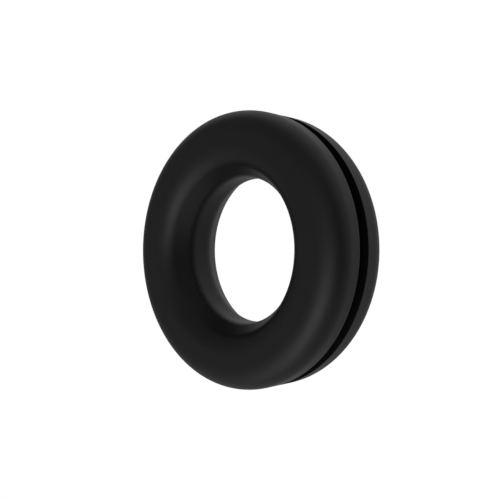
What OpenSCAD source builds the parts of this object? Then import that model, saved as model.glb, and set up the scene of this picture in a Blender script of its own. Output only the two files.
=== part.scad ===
// Rubber grommet: one moulded ring with a rounded flange on each side,
// a groove between them that grips the edge of a round panel hole, and a
// bore that opens through a cone at each mouth for a cable to pass.
// The axis is Z and the origin is on it, at the middle of the groove.
// Millimetres.

/* [Overall] */
// Outside diameter of both flanges
flange_d = 30.2; // [29.6:0.1:32]
// Thickness over both flanges
thickness = 8.9; // [8.6:0.1:9.4]

/* [Panel groove] */
// Width of the groove, the thickness of panel that it grips
groove_w = 1.5; // [0.8:0.1:2]
// Diameter of the groove's floor, the hole that it sits in
groove_d = 22; // [20:0.5:24]

/* [Flange] */
// Radius of the outer shoulder, from the crown to the rim
outer_r = 2.5; // [2:0.1:2.7]
// Radius of the inner shoulder, from the crown to the cone
inner_r = 2.5; // [2:0.1:2.7]

/* [Bore] */
// Diameter of the straight bore at mid thickness
bore_d = 16; // [15.6:0.1:16.4]
// Length of the straight bore
bore_len = 1.6; // [1.4:0.1:2]
// Radius that blends the straight bore into each cone
lead_r = 2; // [1:0.1:2.5]
// Slope of each cone from the axis, in degrees
lead_angle = 30; // [28:0.5:32]

/* [Hidden] */
$fn = 128;
half_t = thickness / 2;
flange_r = flange_d / 2;
bore_r = bore_d / 2;
// the cone leaves its blend here
foot_r = bore_r + lead_r * (1 - cos(lead_angle));
foot_z = bore_len / 2 + lead_r * sin(lead_angle);
// centre of the inner shoulder, which touches the crown and the cone
inner_z = half_t - inner_r;
inner_c = foot_r + (inner_z - foot_z) * tan(lead_angle) + inner_r / cos(lead_angle);
// height where the cone runs out into the inner shoulder
mouth_z = inner_z + inner_r * sin(lead_angle);
// centre of the outer shoulder
outer_c = flange_r - outer_r;
outer_z = half_t - outer_r;
// the cone lies this far inside its two blends, so that it crosses them cleanly
bite = 0.002;

// Corner outside the outer shoulder
module outer_corner() {
  difference() {
    translate([outer_c, outer_z]) square(outer_r + 1);
    translate([outer_c, outer_z]) circle(r = outer_r);
  }
}

// Corner inside the inner shoulder
module inner_corner() {
  difference() {
    translate([0, mouth_z]) square([inner_c, half_t - mouth_z + 1]);
    translate([inner_c, inner_z]) circle(r = inner_r);
  }
}

// The cone's slope, run out past both of its ends
module cone_side() {
  r0 = foot_r + bite * cos(lead_angle);
  z0 = foot_z - bite * sin(lead_angle);
  down = lead_r;
  up = (half_t + 1 - z0) / cos(lead_angle);
  low = [r0 - down * sin(lead_angle), z0 - down * cos(lead_angle)];
  high = [r0 + up * sin(lead_angle), half_t + 1];
  polygon([[0, low[1]], low, high, [0, high[1]]]);
}

// Blend between the straight bore and the cone
module blend_side() {
  difference() {
    translate([0, bore_len / 2]) square([bore_r + lead_r, foot_z - bore_len / 2]);
    translate([bore_r + lead_r, bore_len / 2]) circle(r = lead_r);
  }
}

// What is cut away above mid thickness
module upper_cuts() {
  outer_corner();
  inner_corner();
  cone_side();
  blend_side();
}

module section() {
  difference() {
    translate([bore_r, -half_t]) square([flange_r - bore_r, thickness]);
    upper_cuts();
    mirror([0, 1]) upper_cuts();
    // panel groove
    translate([groove_d / 2, -groove_w / 2]) square([flange_r, groove_w]);
  }
}

module grommet() {
  color([0.09, 0.09, 0.09]) rotate_extrude() section();
}

grommet();
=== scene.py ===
import math

import bpy
from mathutils import Matrix, Vector


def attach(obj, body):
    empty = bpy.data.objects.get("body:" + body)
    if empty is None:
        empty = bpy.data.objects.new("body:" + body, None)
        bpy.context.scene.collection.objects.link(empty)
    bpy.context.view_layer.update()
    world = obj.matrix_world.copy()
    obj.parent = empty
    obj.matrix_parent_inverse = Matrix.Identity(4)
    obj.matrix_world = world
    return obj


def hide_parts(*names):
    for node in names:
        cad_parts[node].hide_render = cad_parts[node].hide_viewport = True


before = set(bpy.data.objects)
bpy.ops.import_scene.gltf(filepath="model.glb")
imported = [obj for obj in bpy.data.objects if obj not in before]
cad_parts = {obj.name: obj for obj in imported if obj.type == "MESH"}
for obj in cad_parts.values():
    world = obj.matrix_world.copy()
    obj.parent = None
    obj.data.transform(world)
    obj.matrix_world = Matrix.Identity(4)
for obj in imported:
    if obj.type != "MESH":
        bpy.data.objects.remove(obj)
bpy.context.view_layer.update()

MM = 0.001

# ---------------------------------------------------------------------------
# Section of the grommet, in mm: (radius, height), the same as the CAD part
# ---------------------------------------------------------------------------
FLANGE_R = 15.1     # outside radius of both flanges
HALF_T = 4.45       # half of the thickness
GROOVE_R = 11.0     # floor of the panel groove
GROOVE_H = 0.75     # half of the groove's width
OUTER_R = 2.5       # outer shoulder
INNER_R = 2.5       # inner shoulder
BORE_R = 8.0        # straight bore
BORE_H = 0.8        # half of its length
LEAD_R = 2.0        # blend from the straight bore to a cone
LEAD_A = math.radians(30.0)
EDGE = 0.02         # how far the lips of the groove are eased
FLOOR_EDGE = 0.25   # and the corners at the groove's floor
TURNS = 320         # steps round the axis


def arc(centre, radius, a0, a1, n):
    """Points on an arc. Angles run from +Z towards +R."""
    return [
        (centre[0] + radius * math.sin(a0 + (a1 - a0) * k / n),
         centre[1] + radius * math.cos(a0 + (a1 - a0) * k / n))
        for k in range(n + 1)
    ]


def line(p, q, n):
    return [(p[0] + (q[0] - p[0]) * k / n, p[1] + (q[1] - p[1]) * k / n) for k in range(n + 1)]


def ease(before, after, size, n=5):
    """Joins two runs of points that meet at a corner with a small round."""
    corner = before[-1]

    def cut(run):
        """Cuts a run that starts at the corner, at that distance along it."""
        for k in range(1, len(run)):
            d = math.dist(run[k], corner)
            if d >= size:
                d0 = math.dist(run[k - 1], corner)
                t = (size - d0) / (d - d0)
                p = (run[k - 1][0] + (run[k][0] - run[k - 1][0]) * t,
                     run[k - 1][1] + (run[k][1] - run[k - 1][1]) * t)
                return p, run[k:] if d - size > 1e-3 else run[k + 1:]
        raise ValueError("the corner's round is longer than the run beside it")

    p, head = cut(before[::-1])
    q, tail = cut(after)
    rounded = []
    for k in range(n + 1):
        t = k / n
        rounded.append(tuple((1 - t) ** 2 * p[i] + 2 * t * (1 - t) * corner[i] + t * t * q[i] for i in (0, 1)))
    return head[::-1] + rounded + tail


def half_section():
    """From the middle of the bore, over the upper flange, to the middle of the groove's floor."""
    foot = (BORE_R + LEAD_R * (1 - math.cos(LEAD_A)), BORE_H + LEAD_R * math.sin(LEAD_A))
    # the inner shoulder touches the cone and the crown
    inner_z = HALF_T - INNER_R
    inner_c = foot[0] + (inner_z - foot[1]) * math.tan(LEAD_A) + INNER_R / math.cos(LEAD_A)
    mouth = (inner_c - INNER_R * math.cos(LEAD_A), inner_z + INNER_R * math.sin(LEAD_A))
    outer_c, outer_z = FLANGE_R - OUTER_R, HALF_T - OUTER_R

    bore = line((BORE_R, 0), (BORE_R, BORE_H), 4)
    bore += arc((BORE_R + LEAD_R, BORE_H), LEAD_R, -math.pi / 2, -math.pi / 2 + LEAD_A, 10)[1:]
    bore += line(foot, mouth, 12)[1:]
    crown = arc((inner_c, inner_z), INNER_R, LEAD_A - math.pi / 2, 0, 30)
    crown += line((inner_c, HALF_T), (outer_c, HALF_T), 4)[1:]
    crown += arc((outer_c, outer_z), OUTER_R, 0, math.pi / 2, 32)[1:]
    crown += line((FLANGE_R, outer_z), (FLANGE_R, GROOVE_H), 8)[1:]
    wall = line((FLANGE_R, GROOVE_H), (GROOVE_R, GROOVE_H), 24)
    floor = line((GROOVE_R, GROOVE_H), (GROOVE_R, 0), 6)
    run = ease(bore + crown[1:], wall, EDGE)
    return ease(run, floor, FLOOR_EDGE)


def revolve(name, section, turns):
    """A closed ring from a closed section."""
    n = len(section)
    verts, faces = [], []
    for i in range(turns):
        c, s = math.cos(2 * math.pi * i / turns), math.sin(2 * math.pi * i / turns)
        verts += [(r * c * MM, r * s * MM, z * MM) for r, z in section]
    for i in range(turns):
        a, b = i * n, (i + 1) % turns * n
        for j in range(n):
            k = (j + 1) % n
            faces.append((a + j, a + k, b + k, b + j))
    mesh = bpy.data.meshes.new(name)
    mesh.from_pydata(verts, [], faces)
    uv = mesh.uv_layers.new(name="UVMap")
    run = [0.0]
    for j in range(n):
        run.append(run[-1] + math.dist(section[j], section[(j + 1) % n]))
    for i in range(turns):
        for j in range(n):
            u0, u1, v0, v1 = i / turns, (i + 1) / turns, run[j] / run[-1], run[j + 1] / run[-1]
            for k, at in enumerate(((u0, v0), (u0, v1), (u1, v1), (u1, v0))):
                uv.data[(i * n + j) * 4 + k].uv = at
    mesh.polygons.foreach_set("use_smooth", [True] * len(mesh.polygons))
    mesh.validate()
    mesh.update()
    obj = bpy.data.objects.new(name, mesh)
    bpy.context.scene.collection.objects.link(obj)
    return obj


upper = half_section()
lower = [(r, -z) for r, z in upper[-2:0:-1]]
profile = upper + lower
grommet = revolve("grommet_ring", profile, TURNS)


# ---------------------------------------------------------------------------
# Black moulded rubber
# ---------------------------------------------------------------------------
def rubber(name, dark, light, gloss, satin):
    """Carbon black rubber between two tones, with its specular level and range of roughness."""
    mat = bpy.data.materials.new(name)
    mat.use_nodes = True
    nt = mat.node_tree
    shader = nt.nodes["Principled BSDF"]
    shader.inputs["Specular IOR Level"].default_value = gloss
    coord = nt.nodes.new("ShaderNodeTexCoord")

    def noise(scale_mm, detail, rough=0.5):
        n = nt.nodes.new("ShaderNodeTexNoise")
        n.inputs["Scale"].default_value = 1 / (scale_mm * MM)
        n.inputs["Detail"].default_value = detail
        n.inputs["Roughness"].default_value = rough
        nt.links.new(coord.outputs["Object"], n.inputs["Vector"])
        return n.outputs["Fac"]

    # the compound, a little uneven under its faint grey bloom
    ramp = nt.nodes.new("ShaderNodeValToRGB")
    for element, at, tone in zip(ramp.color_ramp.elements, (0.3, 0.7), (dark, light)):
        element.position = at
        element.color = tone + (1,)
    nt.links.new(noise(3.0, 4), ramp.inputs["Fac"])
    nt.links.new(ramp.outputs["Color"], shader.inputs["Base Color"])

    # the finish that the mould leaves
    rough = nt.nodes.new("ShaderNodeMapRange")
    rough.inputs["From Min"].default_value = 0.3
    rough.inputs["From Max"].default_value = 0.7
    rough.inputs["To Min"].default_value, rough.inputs["To Max"].default_value = satin
    nt.links.new(noise(1.2, 5, 0.6), rough.inputs["Value"])
    nt.links.new(rough.outputs["Result"], shader.inputs["Roughness"])
    bump = nt.nodes.new("ShaderNodeBump")
    bump.inputs["Strength"].default_value = 0.08
    bump.inputs["Distance"].default_value = 0.01 * MM
    nt.links.new(noise(0.10, 3), bump.inputs["Height"])
    nt.links.new(bump.outputs["Normal"], shader.inputs["Normal"])
    return mat


grommet.data.materials.append(rubber("rubber", (0.0089, 0.0093, 0.0092), (0.0108, 0.0113, 0.0111), 0.5, (0.38, 0.42)))
# the groove is painted a dead black, with a darker base colour and a weaker, rougher specular: painted shade for the
# recess between the flanges
grommet.data.materials.append(rubber("rubber_groove_painted_shade", (0.0034, 0.0034, 0.0034), (0.0046, 0.0046, 0.0046), 0.15, (0.62, 0.70)))
# the faces between the groove's lips, which take this painted shade
painted_shade_in_groove = [GROOVE_R - 1e-6 <= r <= FLANGE_R - 0.25 * EDGE and abs(z) <= GROOVE_H + 1e-6 for r, z in profile]
for face in grommet.data.polygons:
    if all(painted_shade_in_groove[v % len(profile)] for v in face.vertices):
        face.material_index = 1

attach(grommet, "root")
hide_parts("grommet")

# ---------------------------------------------------------------------------
# Studio: a white table, soft surroundings and a large soft light at one side
# ---------------------------------------------------------------------------
scene = bpy.context.scene
# brightness of the table and of the room as the rubber sees them: a level, and
# how it grows along X, Y and Z
TABLE = 0.335, (0.100, -0.005, -0.018)
ROOM = 0.201, (-0.059, -0.059, 0.036)
# the dark side of the room behind the camera, the far side of the table, which is
# bright near the part and in shade beyond it, and the glow around the softboxes:
# elevation and azimuth in degrees, how narrow, how bright
LOBES = {
    "dark_side": (10, 0, 4, -0.232),
    "table_shade": (-30, 180, 10, -0.161),
    "table_far": (-47, 180, 20, 0.146),
    "table_far_plus_x": (-45, 140, 20, 0.095),
    "table_far_minus_x": (-45, 220, 20, 0.066),
    "glow_front": (50, 330, 10, 0.411),
    "glow_side": (50, 270, 4, 0.154),
}
# elevation and azimuth in degrees, width and height in m, brightness
PANELS = {
    "softbox_high": (50, 300, 0.35, 0.35, 0.516),
    "softbox_side": (30, 270, 0.35, 0.35, 0.252),
    "strip_low": (9, 90, 0.36, 0.13, 0.141),
}


def towards(el, az):
    """Direction at an elevation and an azimuth, which is 0 at -Y and 90 at +X."""
    e, a = math.radians(el), math.radians(az)
    return Vector((math.sin(a) * math.cos(e), -math.cos(a) * math.cos(e), math.sin(e)))


world = bpy.data.worlds.new("studio")
scene.world = world
world.use_nodes = True
wt = world.node_tree
where = wt.nodes.new("ShaderNodeTexCoord").outputs["Generated"]


def math_node(operation, first, second):
    node = wt.nodes.new("ShaderNodeMath")
    node.operation = operation
    for socket, value in zip(node.inputs, (first, second)):
        if isinstance(value, float):
            socket.default_value = value
        else:
            wt.links.new(value, socket)
    return node.outputs["Value"]


def along(vector):
    dot = wt.nodes.new("ShaderNodeVectorMath")
    dot.operation = "DOT_PRODUCT"
    dot.inputs[1].default_value = vector
    wt.links.new(where, dot.inputs[0])
    return dot.outputs["Value"]


above = wt.nodes.new("ShaderNodeMapRange")
above.inputs["From Min"].default_value = -0.02
above.inputs["From Max"].default_value = 0.02
wt.links.new(along((0, 0, 1)), above.inputs["Value"])
both = wt.nodes.new("ShaderNodeMix")
both.data_type = "FLOAT"
wt.links.new(above.outputs["Result"], both.inputs["Factor"])
wt.links.new(math_node("ADD", along(TABLE[1]), TABLE[0]), both.inputs["A"])
wt.links.new(math_node("ADD", along(ROOM[1]), ROOM[0]), both.inputs["B"])
light = both.outputs["Result"]
for el, az, narrow, bright in LOBES.values():
    facing = math_node("MAXIMUM", along(towards(el, az)), 0.0)
    lobe = math_node("MULTIPLY", math_node("POWER", facing, float(narrow)), bright)
    light = math_node("ADD", light, lobe)
wt.links.new(light, wt.nodes["Background"].inputs["Strength"])
wt.nodes["Background"].inputs["Color"].default_value = (1, 1, 1, 1)

for name, (el, az, wide, high, bright) in PANELS.items():
    data = bpy.data.lights.new(name, "AREA")
    data.shape = "RECTANGLE"
    data.size, data.size_y = wide, high
    data.energy = math.pi * wide * high * bright
    lamp = bpy.data.objects.new(name, data)
    scene.collection.objects.link(lamp)
    lamp.location = towards(el, az) * 0.5
    lamp.rotation_mode = "QUATERNION"
    lamp.rotation_quaternion = (-towards(el, az)).to_track_quat("-Z", "Y")

# the table top and the white cove around it
COVE = 1.5
rings = [(0.0, 0.0)] + [(COVE * math.cos(k * math.pi / 24), COVE * math.sin(k * math.pi / 24)) for k in range(12)]
verts = [(0, 0, -HALF_T * MM), (0, 0, COVE - HALF_T * MM)]
for r, z in rings[1:]:
    verts += [(r * math.cos(j * math.pi / 32), r * math.sin(j * math.pi / 32), z - HALF_T * MM) for j in range(64)]
faces = [(0, 2 + (j + 1) % 64, 2 + j)[::-1] for j in range(64)]
for k in range(11):
    a, b = 2 + 64 * k, 2 + 64 * (k + 1)
    faces += [(a + (j + 1) % 64, a + j, b + j, b + (j + 1) % 64) for j in range(64)]
faces += [(1, 706 + (j + 1) % 64, 706 + j) for j in range(64)]
mesh = bpy.data.meshes.new("floor")
mesh.from_pydata(verts, [], faces)
mesh.update()
floor = bpy.data.objects.new("floor", mesh)
scene.collection.objects.link(floor)
white = bpy.data.materials.new("floor_white")
white.use_nodes = True
paint = white.node_tree.nodes["Principled BSDF"]
paint.inputs["Base Color"].default_value = (0, 0, 0, 1)
paint.inputs["Roughness"].default_value = 1.0
paint.inputs["Specular IOR Level"].default_value = 0.0
paint.inputs["Emission Color"].default_value = (1, 1, 1, 1)
paint.inputs["Emission Strength"].default_value = 1.005
white.cycles.emission_sampling = "NONE"
mesh.materials.append(white)
floor.visible_glossy = False
floor.visible_diffuse = False
floor.visible_shadow = False

# ---------------------------------------------------------------------------
# Camera, at the photograph's viewing angle
# ---------------------------------------------------------------------------
lens = bpy.data.cameras.new("camera")
lens.sensor_width = 36.0
lens.lens = 48.4217
lens.clip_start, lens.clip_end = 0.001, 10.0
camera = bpy.data.objects.new("camera", lens)
scene.collection.objects.link(camera)
camera.matrix_world = Matrix((
    (0.058787, 0.997063, 0.049092, 3.6796 * MM),
    (-0.726404, 0.076458, -0.683002, -51.1723 * MM),
    (-0.684749, 0.004491, 0.728765, 54.5634 * MM),
    (0.0, 0.0, 0.0, 1.0),
))
scene.camera = camera
scene.view_settings.view_transform = "Standard"
